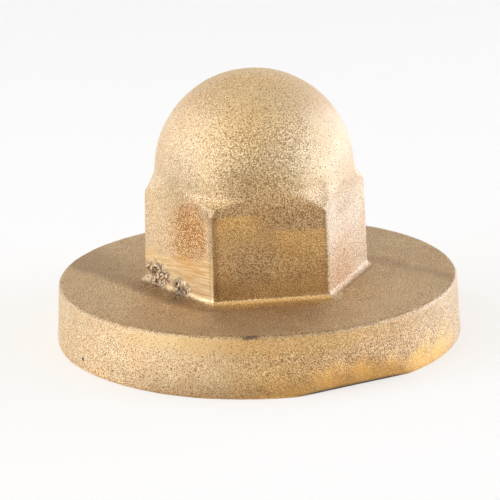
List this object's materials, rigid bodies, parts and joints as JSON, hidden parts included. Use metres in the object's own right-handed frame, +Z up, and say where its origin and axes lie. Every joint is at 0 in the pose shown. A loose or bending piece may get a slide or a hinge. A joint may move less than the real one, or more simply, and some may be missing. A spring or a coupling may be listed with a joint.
{
  "type": "flanged cap nut",
  "caption": "Sand-cast bronze cap nut: a domed hexagon on a wide round flange, with a blind tapped hole that closes over the end of a stud.",
  "frame": {"origin": "centre of the seat face under the flange", "axes": "+Z up the nut's axis to the top of the dome, with two of the hexagon's corners on +X and -X"},
  "size_m": [0.076, 0.076, 0.0498],
  "materials": {
    "cast_bronze": "raw sand-cast skin, matt and grainy"
  },
  "bodies": {
    "root": {"cap_nut": "cast_bronze"}
  },
  "joints": []
}
